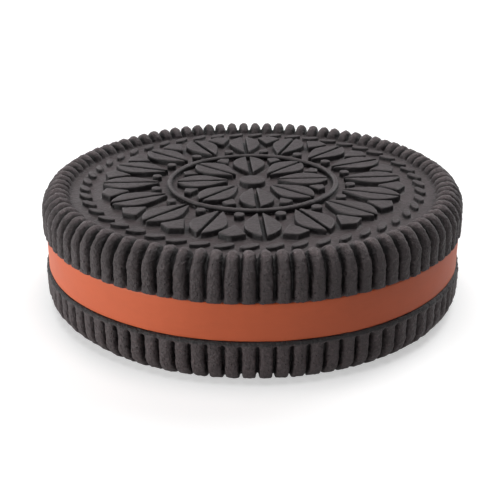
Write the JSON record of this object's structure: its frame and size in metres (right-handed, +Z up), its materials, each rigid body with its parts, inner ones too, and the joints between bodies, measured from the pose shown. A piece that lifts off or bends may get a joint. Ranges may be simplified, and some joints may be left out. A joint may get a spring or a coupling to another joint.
{
  "type": "chocolate sandwich cookie",
  "caption": "Round sandwich cookie lying flat: dark ribbed cocoa wafers, embossed with a leaf rosette, hold a thick layer of orange cream between them.",
  "frame": {"origin": "middle of the plane that the lower wafer's ribs rest on", "axes": "+Z up through both wafers, X and Y in the resting plane, with the middle of a rib on +X"},
  "size_m": [0.045, 0.045, 0.0128],
  "materials": {
    "biscuit": "dry baked cocoa dough, near black, matte and finely grained",
    "cream": "smooth stiff cream, terracotta orange, satin"
  },
  "bodies": {
    "root": {"wafer_top": "biscuit", "cream": "cream", "wafer_bottom": "biscuit"}
  },
  "joints": []
}
